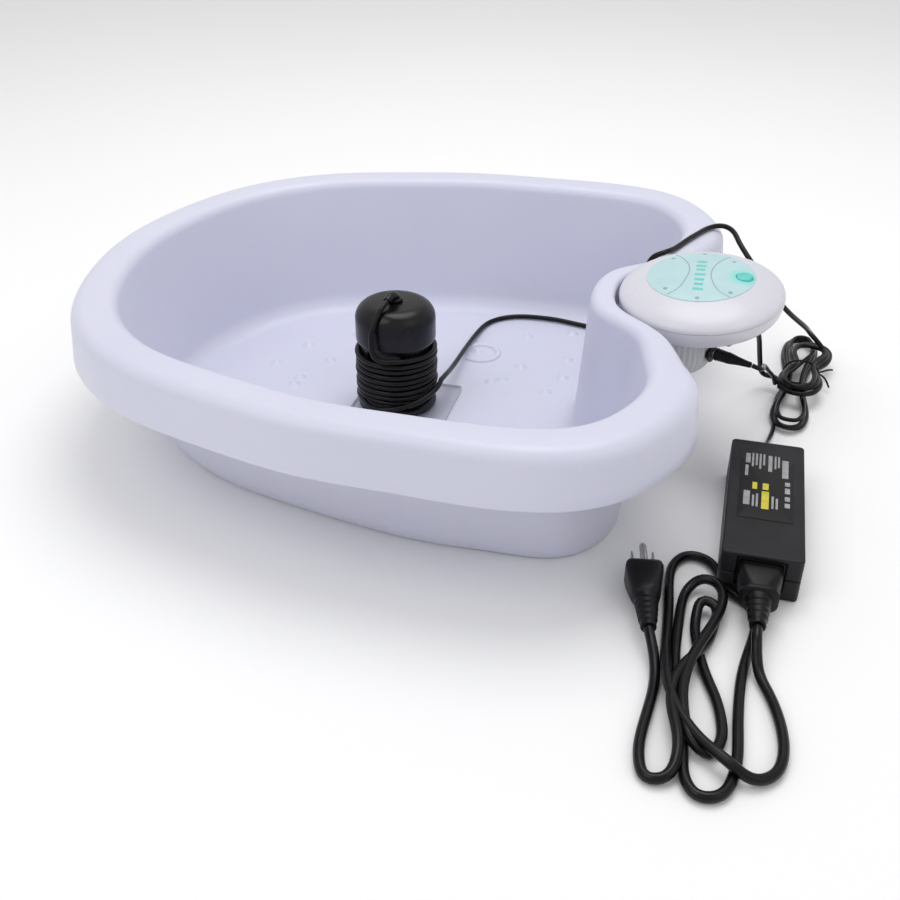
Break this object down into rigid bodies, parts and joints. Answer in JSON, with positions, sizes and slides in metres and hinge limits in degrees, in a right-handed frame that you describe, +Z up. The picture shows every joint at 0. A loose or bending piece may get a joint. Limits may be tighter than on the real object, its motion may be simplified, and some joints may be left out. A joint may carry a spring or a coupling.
{
  "type": "foot spa basin",
  "caption": "Kidney-shaped foot bath tub with a round control unit in its end notch, a lift-out water electrode and its power adapter and cords.",
  "frame": {"origin": "on the floor, under the middle of the box round the tub and its control unit", "axes": "+X towards the control unit, +Y towards one long side, +Z up"},
  "size_m": [0.56, 0.5787, 0.1323],
  "materials": {
    "tub_white": "satin moulded",
    "control_white": "gloss moulded",
    "label_film": "printed film",
    "button_teal": "satin",
    "board": "solder mask",
    "ceramic": "lacquered",
    "steel": "brushed",
    "nickel": "nickel plated",
    "brass": "brass",
    "clear_plastic": "clear",
    "charcoal": "fine texture",
    "label_black": "printed film",
    "led": "clear epoxy",
    "black_plastic": "moulded",
    "cord_black": "PVC"
  },
  "bodies": {
    "root": {"adapter_board": "board", "adapter_capacitor": "black_plastic", "adapter_cord_gland": "black_plastic", "adapter_heat_sink": "steel", "adapter_inlet": "black_plastic", "adapter_label": "label_black", "adapter_lower_shell": "charcoal", "adapter_transformer": "ceramic", "adapter_upper_shell": "charcoal", "array_cord_free_run": "cord_black", "array_cord_hank": "cord_black", "array_cord_plug_end": "cord_black", "array_tray": "clear_plastic", "basin": "tub_white", "inlet_pin_earth": "brass", "inlet_pin_live": "brass", "inlet_pin_neutral": "brass", "mains_connector": "black_plastic", "mains_cord_free_loop": "cord_black", "mains_cord_hank": "cord_black", "mains_cord_plug_end": "cord_black", "mains_cord_under_run": "cord_black", "mains_plug": "black_plastic", "output_cord_adapter_end": "cord_black", "output_cord_hank": "cord_black", "output_cord_plug_end": "cord_black", "plug_blade_live": "nickel", "plug_blade_neutral": "nickel", "plug_ground_pin": "nickel"},
    "controller": {"array_plug": "black_plastic", "array_socket": "black_plastic", "board_transformer": "ceramic", "button_switch": "black_plastic", "control_board": "board", "controller_lower_shell": "control_white", "controller_top_shell": "control_white", "heat_sink": "steel", "housing_screw_1": "steel", "housing_screw_2": "steel", "housing_screw_3": "steel", "indicator_led_1": "led", "indicator_led_2": "led", "indicator_led_3": "led", "indicator_led_4": "led", "indicator_led_5": "led", "indicator_led_6": "led", "label_overlay": "label_film", "power_plug": "black_plastic", "power_plug_barrel": "nickel", "power_socket": "black_plastic"},
    "power_button": {"power_button": "button_teal"},
    "array": {"array_base": "black_plastic", "array_cage": "black_plastic", "array_cap": "black_plastic", "array_cord_gland": "black_plastic", "centre_electrode": "steel", "ring_electrode": "nickel", "electrode_spacer": "ceramic", "array_cord_winding": "cord_black", "array_cord_over_cap": "cord_black"}
  },
  "joints": [
    {"name": "controller_lift", "type": "slide", "parent": "root", "child": "controller", "axis": [0, 0, 1], "range_m": [0, 0.04]},
    {"name": "power_button_press", "type": "slide", "parent": "controller", "child": "power_button", "axis": [0.0645, 0.1003, -0.9929], "range_m": [0, 0.001], "stiffness_N_per_m": 400},
    {"name": "array_lift", "type": "slide", "parent": "root", "child": "array", "axis": [0, 0, 1], "range_m": [0, 0.09]}
  ]
}
